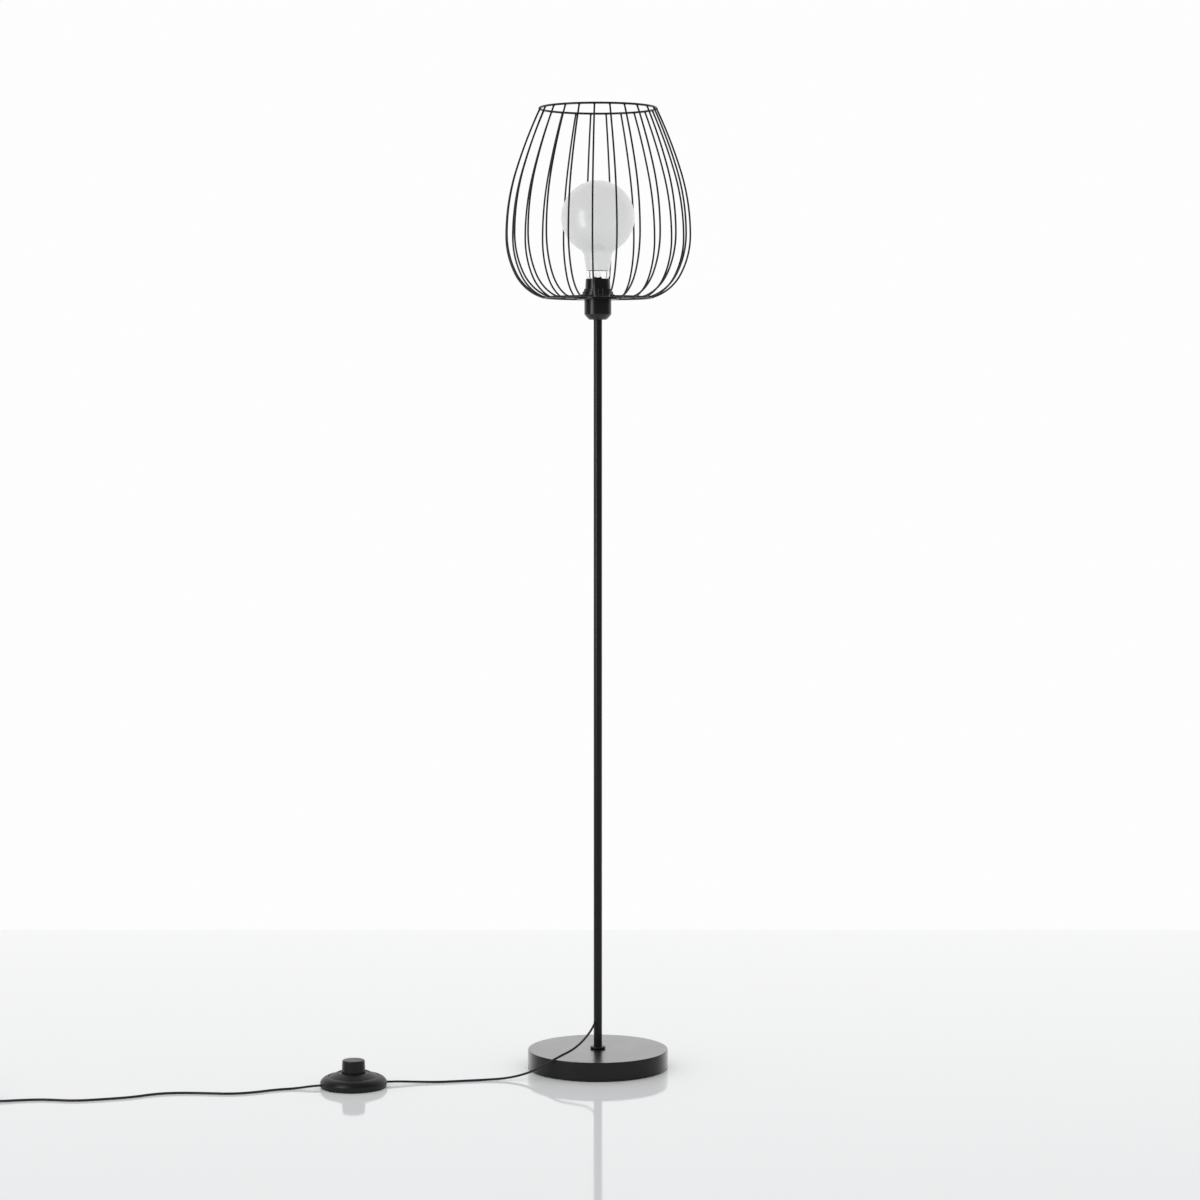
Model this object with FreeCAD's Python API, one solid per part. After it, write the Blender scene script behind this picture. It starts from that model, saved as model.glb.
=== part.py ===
import FreeCAD, Part

import math
import os

# Floor lamp: weighted round base, jointed pole, E27 lampholder, open cage of bent wires, opal globe
# bulb, and a mains lead with a foot switch and a two-pin plug. Millimetres, +Z up, origin at the
# middle of the base on the floor. The lamp is looked at along +Y, and stands 1500.2 tall.

V = FreeCAD.Vector
ORIGIN = V(0, 0, 0)
UP = V(0, 0, 1)
AWAY = V(0, 1, 0)
QUARTER_RISE = 1 - math.sqrt(0.5)   # a quarter round's middle, out from its chord, per radius

# ---- fits -------------------------------------------------------------------------------------
RUNNING = 0.06           # radial clearance of a shaft that turns or slides
THREAD = 0.05            # radial clearance between a screw's outside and its hole
LOOSE = 0.3              # gap between pieces that must not touch
PASSING = 0.15           # radial room of a cord or a screw in a hole

# ---- base -------------------------------------------------------------------------------------
base_diameter = 220.0
base_height = 30.0
base_sheet = 1.2         # steel sheet of the cover
base_edge = 1.5          # rounding of the cover's top edge
pad_step = 1.0           # the pad stands out this far below the cover's rim
pad_thickness = 2.5
pad_inset = 2.0          # from the cover's inside wall
weight_gap = 0.4
nut_pocket_radius = 13.0
thread_radius = 4.0      # M8 threads of the bolt, the nipples and the bushes
bolt_head_flats = 13.0
bolt_head_height = 5.3
bolt_reach = 16.0        # length of thread inside the pole's foot
bolt_recess = 3.6        # from the pad's top up to the bolt's head
washer_radius = 11.0
washer_thickness = 1.6

# ---- pole -------------------------------------------------------------------------------------
pole_diameter = 13.2
pole_wall = 1.0
section_length = 381.0   # each of three equal tubes
bush_length = 18.0
nipple_bore = 2.5        # radius
nipple_reach = 15.0      # length of nipple on each side of a joint
collar_width = 5.6       # foot collar, measured outwards from the pole
collar_height = 4.0

# ---- cord -------------------------------------------------------------------------------------
cord_diameter = 3.5
cord_hole_rise = 45.0    # above the base
cord_hole_azimuth = 240.0
cord_hole_dip = 45.0     # degrees below level
cord_bend = 17.5         # bend inside the pole
grommet_wall = 0.85
grommet_inside = 1.7     # length past the tube's inner wall
grommet_outside = 3.2    # length past the tube's outer wall

# ---- lampholder -------------------------------------------------------------------------------
cup_radius = 21.0
cup_foot_radius = 13.2
cup_dome_height = 8.5
cup_dome_bulge = 0.5
cup_height = 31.3
cup_wall = 2.2
cup_floor = 7.5
cup_ledge = 15.0         # height of the step that carries the core, above the cup's foot
cup_ledge_radius = 15.5
barrel_radius = 19.6
barrel_mouth_radius = 18.85
barrel_height = 63.0     # of its mouth above the cup's foot
barrel_bore = 17.2
skirt_depth = 8.0        # the barrel's lower end inside the cup
core_neck_radius = 12.0
core_neck_height = 7.0
shell_radius = 13.9      # inside of the screw shell
shell_sheet = 0.4
shell_height = 24.0
shell_flange = 15.5
contact_radius = 4.5
contact_sheet = 0.6
terminal_screw_radius = 1.5
terminal_screw_offset = 14.6
terminal_screw_depth = 1.0   # below the core's top
holder_nipple_end = 2.0      # above the cup's floor

# ---- shade ring that clamps the cage ------------------------------------------------------------
ring_flange_radius = 28.5
ring_flange_height = 2.5
ring_height = 15.0
ring_foot_radius = 26.2
ring_top_radius = 21.7
ring_steps = 3
ring_grips = 20
grip_radius = 1.1
grip_depth = 0.9         # of a grip's groove

# ---- cage -------------------------------------------------------------------------------------
front_ribs = 12
front_rib_azimuth = -167.2   # of the first
front_rib_pitch = 14.8       # degrees
back_ribs = 11
back_rib_azimuth = 20.6      # of the first
back_rib_pitch = 15.3
rib_wire = 2.8
top_wire = 3.4
bottom_wire = 3.0
cage_rise = 291.5        # between the middles of the two rings
belly_rise = 96.0        # above the bottom ring
top_ring_radius = 90.3
belly_radius = 143.4
bottom_ring_radius = 83.5
rib_top_lean = 25.5      # degrees from upright at the top ring
rib_bottom_slope = 15.0  # degrees above level at the bottom ring
cage_washer_radius = 33.0
cage_washer_thickness = 1.2
arm_first_azimuth = 90.0

# ---- bulb ---------------------------------------------------------------------------------------
globe_radius = 57.0
globe_rise = 94.95       # of the globe's middle above the barrel's mouth
glass_wall = 1.0
neck_radius = 18.2
neck_foot_rise = 3.95    # above the barrel's mouth
neck_top_rise = 12.95    # above the barrel's mouth
neck_flare_angle = 8.5   # degrees from upright
neck_blend = 14.0        # radius between the neck and the globe
cap_radius = 13.05
cap_foot_radius = 10.05
cap_sheet = 0.5
cap_pitch = 3.629
cap_threads = 5
cap_thread_depth = 0.9
cap_thread_start = 3.0
cap_height = 23.0
cap_hem = 0.6            # plain band at the cap's top
glass_seat = 2.0         # depth of the glass in the cap
cap_insulator_height = 3.0
tip_radius = 4.8
tip_height = 1.2
stem_radius = 6.5
stem_pillar_radius = 3.9
stem_rim = 1.0
stem_flare = 7.0
stem_shoulder = 12.0
stem_rise = 58.0         # of its top above the bulb's foot
filament_radius = 1.1
filament_ring = 15.0
filament_rise = 114.0    # above the bulb's foot
lead_wire_radius = 0.4
lead_wire_root = 2.0     # from the stem's middle

# ---- foot switch --------------------------------------------------------------------------------
switch_x = -373.6
switch_y = -140.0
switch_turn = 15.0       # degrees, of the cords' line through the switch
switch_radius = 51.0
switch_plate_radius = 50.4
switch_plate = 4.5
switch_plate_edge = 0.8
switch_groove = 0.8
switch_wall = 2.2
switch_rim_top = 8.2
switch_crown = 22.8
switch_outer_ridge = 39.0
switch_outer_ridge_top = 16.8
switch_inner_ridge = 24.0
switch_ridge_step = 1.1
switch_ridge_width = 0.4
switch_rim_bulge = 1.9
switch_dome_bulge = 0.4
switch_hole = 18.6
cord_entry_height = 4.8
button_top_radius = 17.1
button_foot_radius = 18.3
button_top = 41.5
button_wall = 2.2
button_rounding = 2.0
button_flange_radius = 20.4
button_flange = 2.0
button_boss_radius = 5.2
post_radius = 3.0
post_top = 26.0
rotor_radius = 9.0
rotor_height = 4.0
rotor_lift = 0.6         # above the base plate
rotor_teeth = 8
rotor_tooth_depth = 1.4
rotor_tooth_gap = 2.4
spring_radius = 7.4
spring_wire = 1.0
spring_turns = 6
terminal_inner = 23.0
terminal_outer = 29.0
terminal_width = 7.0
terminal_height = 6.0
blade_width = 3.0
blade_sheet = 0.5
blade_gap = 2.0          # from the rotor's rim
switch_screw_count = 3
switch_screw_ring = 36.0
switch_screw_radius = 1.5
switch_screw_head = 3.0
switch_screw_head_height = 1.8
switch_screw_sink = 0.4
switch_screw_reach = 6.0
switch_boss_radius = 4.0

# ---- coil of spare cord and plug ------------------------------------------------------------------
coil_x = -938.0
coil_y = -225.5
coil_turns = 8.25
coil_layers = 4
coil_outer = 24.3        # radius of the outermost turn's middle line
coil_pitch = 4.2         # between turns beside and above each other
coil_reversal = 0.12     # turns over which the winding turns back
tie_azimuth = 50.0
tie_thickness = 0.8
tie_width = 3.4
tie_corner = 0.7
tie_head_length = 5.0
tie_head_height = 3.4
tie_head_foot = 5.0
tie_head_side = 0.8      # the head is this much wider on each side
plug_width = 35.3
plug_thickness = 13.6
plug_body_length = 21.0
plug_taper_length = 14.0
plug_neck_width = 12.0
plug_neck_thickness = 10.5
plug_neck_flat = 0.6
plug_corner = 4.0
plug_boot_length = 26.0
plug_distance = 52.0     # from the coil's end to the boot
boot_root_radius = 4.6
boot_tip_radius = 2.7
pin_radius = 2.0
pin_rounding = 1.2
pin_length = 19.0
pin_root = 9.0           # length of the thinner root inside the plug
pin_root_radius = 1.6
pin_spacing = 18.6

# Derived sizes that several pieces share.
pole_radius = pole_diameter / 2
pole_inner = pole_radius - pole_wall
pole_joints = [base_height + i * section_length for i in range(4)]
pole_top = pole_joints[-1]
cord_radius = cord_diameter / 2
clamp_height = pole_top + cup_height
barrel_mouth = pole_top + barrel_height
washer_top = clamp_height + cage_washer_thickness
bottom_ring_height = washer_top + bottom_wire / 2
top_ring_height = bottom_ring_height + cage_rise
core_foot = pole_top + cup_ledge
core_top = clamp_height - skirt_depth
contact_foot = core_top + core_neck_height
bulb_foot = contact_foot + contact_sheet + THREAD
cap_foot = bulb_foot + tip_height + cap_insulator_height
cap_top = cap_foot + cap_height
nodes = {}


# ---- helpers ------------------------------------------------------------------------------------
def direction(azimuth, dip=0.0):
    """Unit vector from the azimuth counter-clockwise from +X, dip degrees below level."""
    a, d = math.radians(azimuth), math.radians(dip)
    return V(math.cos(a) * math.cos(d), math.sin(a) * math.cos(d), -math.sin(d))


def rod(radius, length, foot=ORIGIN, along=UP):
    return Part.makeCylinder(radius, length, foot, along)


def pipe(outer, inner, foot, top):
    return rod(outer, top - foot, UP * foot).cut(rod(inner, top - foot, UP * foot))


def upright(solid):
    """The solid with its faces pointing outwards."""
    return solid.reversed() if solid.Volume < 0 else solid


def turned(*outline):
    """Solid turned about Z. A step is a point (r, z), or an arc as ((r, z) on it, (r, z) at its end)."""
    here = outline[0]
    edges = []
    for step in outline[1:] + (outline[0],):
        if isinstance(step[0], tuple):
            middle, end = step
            edges.append(Part.Arc(*[V(r, 0, z) for r, z in (here, middle, end)]).toShape())
        else:
            end = step
            if math.dist(here, end) > 1e-7:
                edges.append(Part.makeLine(V(here[0], 0, here[1]), V(end[0], 0, end[1])))
        here = end
    return upright(Part.Face(Part.Wire(edges)).revolve(ORIGIN, UP, 360))


def bowed(start, end, rise):
    """Step of an outline: an arc to the end, its middle out to the right of the chord by the rise."""
    (r1, z1), (r2, z2) = start, end
    out = rise / math.dist(start, end)
    return ((r1 + r2) / 2 + out * (z2 - z1), (z1 + z2) / 2 - out * (r2 - r1)), end


def around(shape, count, first=0.0, pitch=None):
    """Copies of a shape, turned about Z in even steps, all the way round unless the pitch is given."""
    step = pitch or 360.0 / count
    copies = []
    for i in range(count):
        copy = shape.copy()
        copy.rotate(ORIGIN, UP, first + i * step)
        copies.append(copy)
    return copies


def corner_arc(start, corner, end):
    """Edge that leaves start towards corner and reaches end coming from it, start and end equally far."""
    chord = (start + end) * 0.5
    height = (corner - chord).Length
    half = (start - chord).Length
    if height < 1e-6 * half:
        return Part.makeLine(start, end)
    rise = half * math.tan(math.atan2(height, half) / 2)
    return Part.Arc(start, chord + (corner - chord) * (rise / height), end).toShape()


def biarc(start, start_way, end, end_way):
    """Two arcs that join two points and their directions smoothly."""
    chord = end - start
    a = 2 * (1 - start_way.dot(end_way))
    b = 2 * chord.dot(start_way + end_way)
    c = -chord.dot(chord)
    reach = -c / b if a < 1e-9 else (-b + math.sqrt(b * b - 4 * a * c)) / (2 * a)
    first = start + start_way * reach
    second = end - end_way * reach
    joint = (first + second) * 0.5
    return [corner_arc(start, first, joint), corner_arc(joint, second, end)]


def swept(edges, radius, start_way):
    """Round tube along a smooth chain of edges."""
    start = edges[0].Vertexes[0].Point
    ring = Part.Wire(Part.makeCircle(radius, start, start_way))
    return upright(Part.Wire(edges).makePipeShell([ring], True, False))


def measured(name, tube, radius, edges, note):
    """The tube, once its length and its volume against section times length are printed."""
    length = sum(edge.Length for edge in edges)
    ratio = tube.Volume / (math.pi * radius ** 2 * length)
    print(f"{name}: length {length:.1f}, volume ratio {ratio:.4f}, {note}")
    return tube


def cord_tube(name, points):
    """A cord through its points: straight runs joined by the largest even arcs."""
    edges = []
    radii = []
    here = points[0]
    for before, corner, after in zip(points, points[1:], points[2:]):
        back, ahead = (before - corner), (after - corner)
        reach = 0.45 * min(back.Length, ahead.Length)
        half_turn = (math.pi - back.getAngle(ahead)) / 2
        start = corner + back.normalize() * reach
        end = corner + ahead.normalize() * reach
        edges.append(Part.makeLine(here, start))
        edges.append(corner_arc(start, corner, end))
        radii.append(reach / math.tan(half_turn))
        here = end
    edges.append(Part.makeLine(here, points[-1]))
    tube = swept(edges, cord_radius, points[1] - points[0])
    return measured(name, tube, cord_radius, edges, "radii " + " ".join(f"{r:.0f}" for r in radii))


def wound(name, at, turns, radius, end_length=0.0):
    """Tube along the curve at(turns), a biarc to each quarter turn, its ends straight for a length."""
    step = 1e-4
    quarters = round(turns * 4)

    def way(t):
        return (at(t + step) - at(t - step)).normalize()

    edges = []
    for i in range(quarters):
        a, b = i * turns / quarters, (i + 1) * turns / quarters
        edges += biarc(at(a), way(a), at(b), way(b))
    if end_length:
        edges.insert(0, Part.makeLine(at(0) - way(0) * end_length, at(0)))
        edges.append(Part.makeLine(at(turns), at(turns) + way(turns) * end_length))
    samples = [at(i / 48) for i in range(int(turns * 48) + 1)]
    nearest = min((p - q).Length for i, p in enumerate(samples) for q in samples[i + 24:])
    note = f"least gap to itself {nearest - 2 * radius:.2f}"
    return measured(name, swept(edges, radius, way(0)), radius, edges, note)


def keep(name, *shapes):
    """Names the solid, or the separate solids, of one node."""
    nodes[name] = Part.makeCompound(shapes) if len(shapes) > 1 else shapes[0]


# ---- base ---------------------------------------------------------------------------------------
def make_base():
    radius = base_diameter / 2
    inner = radius - base_sheet
    top = base_height
    hole = thread_radius + THREAD
    shoulder = (radius, top - base_edge)
    brim = (radius - base_edge, top)
    keep("base_cover", turned(
        (hole, top - base_sheet), (inner, top - base_sheet), (inner, pad_step), (radius, pad_step),
        shoulder, bowed(shoulder, brim, base_edge * QUARTER_RISE), (hole, top)))
    keep("base_pad", pipe(inner - pad_inset, nut_pocket_radius, 0, pad_thickness))

    head_foot = pad_thickness + bolt_recess
    washer_foot = head_foot + bolt_head_height
    pocket_top = washer_foot + washer_thickness
    keep("base_weight", turned(
        (nut_pocket_radius, pad_thickness), (inner - weight_gap, pad_thickness),
        (inner - weight_gap, top - base_sheet), (hole, top - base_sheet), (hole, pocket_top),
        (nut_pocket_radius, pocket_top)))
    keep("base_washer", pipe(washer_radius, hole, washer_foot, pocket_top))
    corners = [direction(60 * i) * (bolt_head_flats / math.sqrt(3)) for i in range(7)]
    head = Part.Face(Part.makePolygon(corners)).extrude(UP * bolt_head_height)
    head.translate(UP * head_foot)
    shank = rod(thread_radius, top + bolt_reach - washer_foot, UP * washer_foot)
    keep("base_bolt", head.fuse(shank).removeSplitter())


# ---- pole ---------------------------------------------------------------------------------------
def make_pole():
    """The pole, what is fixed in it, and the cord inside. Returns where the cord leaves, and its way."""
    dip = math.radians(cord_hole_dip)
    way = direction(cord_hole_azimuth, cord_hole_dip)
    outer_run = pole_radius / math.cos(dip)
    inner_run = pole_inner / math.cos(dip)
    corner = UP * (base_height + cord_hole_rise + outer_run * math.sin(dip))
    grommet_radius = cord_radius + THREAD + grommet_wall
    cord_hole = rod(grommet_radius + THREAD, 2 * outer_run, corner, way)
    names = ["pole_lower", "pole_middle", "pole_upper"]
    for name, foot, top in zip(names, pole_joints, pole_joints[1:]):
        tube = pipe(pole_radius, pole_inner, foot, top)
        keep(name, tube.cut(cord_hole) if name == "pole_lower" else tube)

    bush_feet = [base_height, pole_top - bush_length]
    for joint in pole_joints[1:-1]:
        bush_feet += [joint - bush_length, joint]
    bore = thread_radius + THREAD
    keep("pole_bushes", *[
        pipe(pole_inner - THREAD / 2, bore, foot, foot + bush_length) for foot in bush_feet])
    keep("pole_nipples", *[
        pipe(thread_radius, nipple_bore, joint - nipple_reach, joint + nipple_reach)
        for joint in pole_joints[1:-1]])

    bore = pole_radius + RUNNING
    rim = pole_radius + collar_width - collar_height / 2
    lower, upper = (rim, base_height), (rim, base_height + collar_height)
    keep("pole_foot_collar", turned(
        (bore, base_height), lower, bowed(lower, upper, collar_height / 2),
        (bore, base_height + collar_height)))

    start = inner_run - grommet_inside
    end = outer_run + grommet_outside
    grommet = rod(grommet_radius, end - start, corner + way * start, way)
    keep("pole_cord_grommet", grommet.cut(rod(cord_radius + THREAD, end, corner, way)))

    exit_point = corner + way * end
    reach = cord_bend * math.tan((math.pi / 2 - dip) / 2)
    bend_start = corner + UP * reach
    bend_end = corner + way * reach
    edges = [Part.makeLine(UP * core_foot, bend_start), corner_arc(bend_start, corner, bend_end),
             Part.makeLine(bend_end, exit_point)]
    keep("cord_in_pole", swept(edges, cord_radius, -UP))
    return exit_point, way


# ---- lampholder -----------------------------------------------------------------------------------
def make_lampholder():
    foot = pole_top
    floor = foot + cup_floor
    thread = thread_radius + THREAD
    inside = cup_radius - cup_wall
    dome_foot = (cup_foot_radius, foot)
    dome_top = (cup_radius, foot + cup_dome_height)
    keep("holder_cup", turned(
        (thread, foot), dome_foot, bowed(dome_foot, dome_top, cup_dome_bulge),
        (cup_radius, clamp_height), (inside, clamp_height), (inside, core_foot),
        (cup_ledge_radius, core_foot), (cup_ledge_radius, floor), (thread, floor)))
    keep("holder_nipple", pipe(thread_radius, nipple_bore, foot - nipple_reach, floor + holder_nipple_end))

    skirt = inside - THREAD
    keep("holder_barrel", turned(
        (barrel_bore, core_top), (skirt, core_top), (skirt, clamp_height), (barrel_radius, clamp_height),
        (barrel_radius, washer_top + ring_height), (barrel_mouth_radius, barrel_mouth),
        (barrel_bore, barrel_mouth)))

    core = turned(
        (0, core_foot), (skirt, core_foot), (skirt, core_top), (core_neck_radius, core_top),
        (core_neck_radius, contact_foot), (0, contact_foot))
    terminals = [V(side * terminal_screw_offset, 0, core_foot) for side in (-1, 1)]
    for spot in terminals:
        core = core.cut(rod(terminal_screw_radius + THREAD, core_top - core_foot, spot))
    keep("holder_core", core)
    screw_length = core_top - core_foot - terminal_screw_depth
    keep("holder_terminal_screws", *[rod(terminal_screw_radius, screw_length, spot) for spot in terminals])

    shell_foot = core_top + THREAD
    flange_top = shell_foot + shell_sheet
    shell_outer = shell_radius + shell_sheet
    shell_top = shell_foot + shell_height
    collar = core_neck_radius + THREAD
    keep("holder_screw_shell", turned(
        (collar, shell_foot), (shell_flange, shell_foot), (shell_flange, flange_top),
        (shell_outer, flange_top), (shell_outer, shell_top), (shell_radius, shell_top),
        (shell_radius, flange_top), (collar, flange_top)))
    keep("holder_centre_contact", rod(contact_radius, contact_sheet, UP * contact_foot))


def make_shade_ring():
    """Threaded ring: flat flange below, knurled steps that narrow upwards."""
    bore = barrel_radius + THREAD
    flange_top = washer_top + ring_flange_height
    knurl_height = ring_height - ring_flange_height
    step_width = (ring_foot_radius - ring_top_radius) / (ring_steps - 1)
    outline = [(bore, washer_top), (ring_flange_radius, washer_top), (ring_flange_radius, flange_top)]
    for i in range(ring_steps):
        radius = ring_foot_radius - i * step_width
        outline += [(radius, flange_top + i * knurl_height / ring_steps),
                    (radius, flange_top + (i + 1) * knurl_height / ring_steps)]
    outline.append((bore, washer_top + ring_height))
    ring = turned(*outline)
    grip = rod(grip_radius, ring_height, V(ring_foot_radius + grip_radius - grip_depth, 0, flange_top))
    lean = math.degrees(math.atan2(ring_foot_radius - ring_top_radius, knurl_height))
    grip.rotate(V(ring_foot_radius, 0, flange_top), AWAY, -lean)
    for cutter in around(grip, ring_grips):
        ring = ring.cut(cutter)
    keep("shade_ring", ring)


# ---- cage ---------------------------------------------------------------------------------------
def make_cage():
    top_ring = Part.makeTorus(top_ring_radius, top_wire / 2, UP * top_ring_height)
    bottom_ring = Part.makeTorus(bottom_ring_radius, bottom_wire / 2, UP * bottom_ring_height)
    keep("cage_top_ring", top_ring)
    keep("cage_bottom_ring", bottom_ring)

    foot = V(bottom_ring_radius, 0, bottom_ring_height)
    belly = V(belly_radius, 0, bottom_ring_height + belly_rise)
    head = V(top_ring_radius, 0, top_ring_height)
    foot_way = direction(0, -rib_bottom_slope)
    head_way = direction(180, -(90 - rib_top_lean))
    edges = biarc(foot, foot_way, belly, UP) + biarc(belly, UP, head, head_way)
    rib = swept(edges, rib_wire / 2, foot_way).cut(top_ring).cut(bottom_ring)
    ribs = around(rib, front_ribs, front_rib_azimuth, front_rib_pitch)
    ribs += around(rib, back_ribs, back_rib_azimuth, back_rib_pitch)
    for pair in range((len(ribs) + 1) // 2):
        keep(f"cage_ribs_{pair + 1:02d}", *ribs[2 * pair:2 * pair + 2])

    keep("cage_washer", pipe(cage_washer_radius, barrel_radius + LOOSE, clamp_height, washer_top))
    arm_start = ring_flange_radius + LOOSE
    arm = rod(bottom_wire / 2, bottom_ring_radius - arm_start,
              V(arm_start, 0, bottom_ring_height), V(1, 0, 0)).cut(bottom_ring)
    for ring_arm, letter in zip(around(arm, 3, arm_first_azimuth), "abc"):
        keep(f"cage_arm_{letter}", ring_arm)


# ---- bulb ---------------------------------------------------------------------------------------
def glass_outline(inset):
    """Half outline of the glass, from its foot in the cap to the top of the globe."""
    globe = globe_radius - inset
    blend = neck_blend + inset
    centre = barrel_mouth + globe_rise
    foot_radius = cap_radius - cap_sheet - THREAD - inset
    neck_top = (neck_radius - inset, barrel_mouth + neck_top_rise)

    # The blend's middle lies its radius outside the flared neck and outside the globe.
    lean = math.radians(neck_flare_angle)
    up_r, up_z = math.sin(lean), math.cos(lean)
    r = neck_top[0] + blend * up_z
    z = neck_top[1] - blend * up_r - centre
    half_b = r * up_r + z * up_z
    run = -half_b - math.sqrt(half_b ** 2 - r ** 2 - z ** 2 + (globe + blend) ** 2)
    middle = (r + run * up_r, centre + z + run * up_z)
    flare_top = (neck_top[0] + run * up_r, neck_top[1] + run * up_z)
    share = globe / (globe + blend)
    meet = (middle[0] * share, centre + (middle[1] - centre) * share)
    halfway = math.atan2((flare_top[1] + meet[1]) / 2 - middle[1], (flare_top[0] + meet[0]) / 2 - middle[0])
    on_blend = (middle[0] + blend * math.cos(halfway), middle[1] + blend * math.sin(halfway))
    return [
        (foot_radius, cap_top - glass_seat), (foot_radius, cap_top),
        (neck_radius - inset, barrel_mouth + neck_foot_rise), neck_top, flare_top, (on_blend, meet),
        ((globe, centre), (0, centre + globe))]


def make_bulb():
    bottom = (0, cap_top - glass_seat)
    outer = turned(bottom, *glass_outline(0.0))
    inner = turned(bottom, *glass_outline(glass_wall))
    keep("bulb_globe", outer.cut(inner))

    valley = cap_radius - cap_thread_depth
    inside = valley - cap_sheet
    outline = [(cap_foot_radius, cap_foot)]
    for i in range(cap_threads):
        z = cap_foot + cap_thread_start + i * cap_pitch
        outline += [(valley, z), bowed((valley, z), (valley, z + cap_pitch), cap_thread_depth)]
    step = cap_top - glass_seat - LOOSE / 3
    outline += [(cap_radius, cap_top - cap_hem), (cap_radius, cap_top), (cap_radius - cap_sheet, cap_top),
                (cap_radius - cap_sheet, step), (inside, step), (inside, cap_foot + cap_thread_start),
                (cap_foot_radius - cap_sheet, cap_foot)]
    keep("bulb_cap", turned(*outline))

    insulator_foot = cap_foot - cap_insulator_height
    keep("bulb_insulator", turned(
        (0, insulator_foot), (tip_radius, insulator_foot), (cap_foot_radius, cap_foot), (0, cap_foot)))
    keep("bulb_tip", rod(tip_radius, tip_height, UP * bulb_foot))

    foot = cap_top - glass_seat
    stem_top = bulb_foot + stem_rise
    rim_radius = cap_radius - cap_sheet - THREAD - glass_wall
    flare = ((stem_radius, foot + stem_rim + stem_flare),
             (stem_pillar_radius, foot + stem_rim + stem_flare + stem_shoulder))
    keep("bulb_stem", turned(
        (0, foot), (rim_radius, foot), (rim_radius, foot + stem_rim), flare,
        (stem_pillar_radius, stem_top), (0, stem_top)))
    filament_foot = bulb_foot + filament_rise
    wires = []
    for side in (-1, 1):
        root = V(side * lead_wire_root, 0, stem_top)
        wire = V(side * (filament_ring - filament_radius), 0, filament_foot) - root
        wires.append(rod(lead_wire_radius, wire.Length, root, wire))
    arch = Part.makeTorus(filament_ring, filament_radius, UP * (filament_foot + filament_radius + LOOSE))
    keep("bulb_filament", arch, *wires)


# ---- foot switch ----------------------------------------------------------------------------------
def place(name, *shapes):
    """Names a piece of the switch that was made about Z, and puts it where it lies."""
    copies = []
    for shape in shapes:
        copy = shape.copy()
        copy.rotate(ORIGIN, UP, switch_turn)
        copy.translate(V(switch_x, switch_y, 0))
        copies.append(copy)
    keep(name, *copies)


def make_switch():
    sides = (V(-1, 0, 0), V(1, 0, 0))
    screw_spots = [direction(90 + i * 360 / switch_screw_count) * switch_screw_ring
                   for i in range(switch_screw_count)]
    channels = [
        rod(cord_radius + PASSING, switch_radius, side * terminal_outer + UP * cord_entry_height, side)
        for side in sides]
    rim_foot = switch_plate + switch_groove
    ceiling = button_top - button_wall
    cover_floor = switch_crown - switch_ridge_step - switch_wall
    flange_top = cover_floor - RUNNING
    rotor_foot = switch_plate + rotor_lift
    make_switch_cover(screw_spots, channels, rim_foot, cover_floor)
    make_switch_base(screw_spots, channels, rim_foot)
    make_switch_contacts()
    make_switch_button(ceiling, flange_top)

    rotor = pipe(rotor_radius, post_radius + RUNNING, rotor_foot, rotor_foot + rotor_height)
    notch = Part.makeBox(2 * rotor_tooth_depth, rotor_tooth_gap, rotor_height,
                         V(rotor_radius - rotor_tooth_depth, -rotor_tooth_gap / 2, rotor_foot))
    for cutter in around(notch, rotor_teeth):
        rotor = rotor.cut(cutter)
    place("switch_rotor", rotor)

    low = rotor_foot + rotor_height + THREAD + spring_wire / 2
    rise = ceiling - THREAD - spring_wire / 2 - low

    def spring_at(turns):
        return direction(360 * turns) * spring_radius + UP * (low + rise * turns / spring_turns)

    place("switch_spring", wound("switch_spring", spring_at, spring_turns, spring_wire / 2))


def make_switch_cover(screw_spots, channels, rim_foot, cover_floor):
    """Dome in two ridged steps round the button's hole, with a boss for each screw."""
    inside = switch_radius - switch_wall
    rim = (switch_radius, switch_rim_top)
    outer_ridge = (switch_outer_ridge, switch_outer_ridge_top)
    inner_ridge = (switch_inner_ridge, switch_crown)
    outer_foot = (switch_outer_ridge - switch_ridge_width, switch_outer_ridge_top - switch_ridge_step)
    crown = switch_crown - switch_ridge_step
    shoulder = switch_outer_ridge_top - switch_ridge_step - switch_wall
    cover = turned(
        (inside, rim_foot), (switch_radius, rim_foot), rim, bowed(rim, outer_ridge, switch_rim_bulge),
        outer_foot, bowed(outer_foot, inner_ridge, switch_dome_bulge),
        (switch_inner_ridge - switch_ridge_width, crown), (switch_hole, crown),
        (switch_hole, cover_floor), (switch_inner_ridge, cover_floor),
        (switch_outer_ridge - 2 * switch_ridge_width, shoulder),
        (inside, switch_rim_top - switch_ridge_width))
    # The bosses end in the middle of the wall above them.
    slope = (switch_crown - switch_outer_ridge_top) / (switch_outer_ridge - switch_inner_ridge)
    boss_top = cover_floor + switch_wall / 2 - slope * (switch_screw_ring - switch_inner_ridge)
    for spot in screw_spots:
        cover = cover.fuse(rod(switch_boss_radius, boss_top - switch_plate, spot + UP * switch_plate))
    for spot in screw_spots:
        hole = rod(switch_screw_radius + THREAD, switch_screw_reach + 1, spot + UP * switch_plate)
        cover = cover.cut(hole)
    for channel in channels:
        cover = cover.cut(channel)
    place("switch_cover", cover.removeSplitter())


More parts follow.
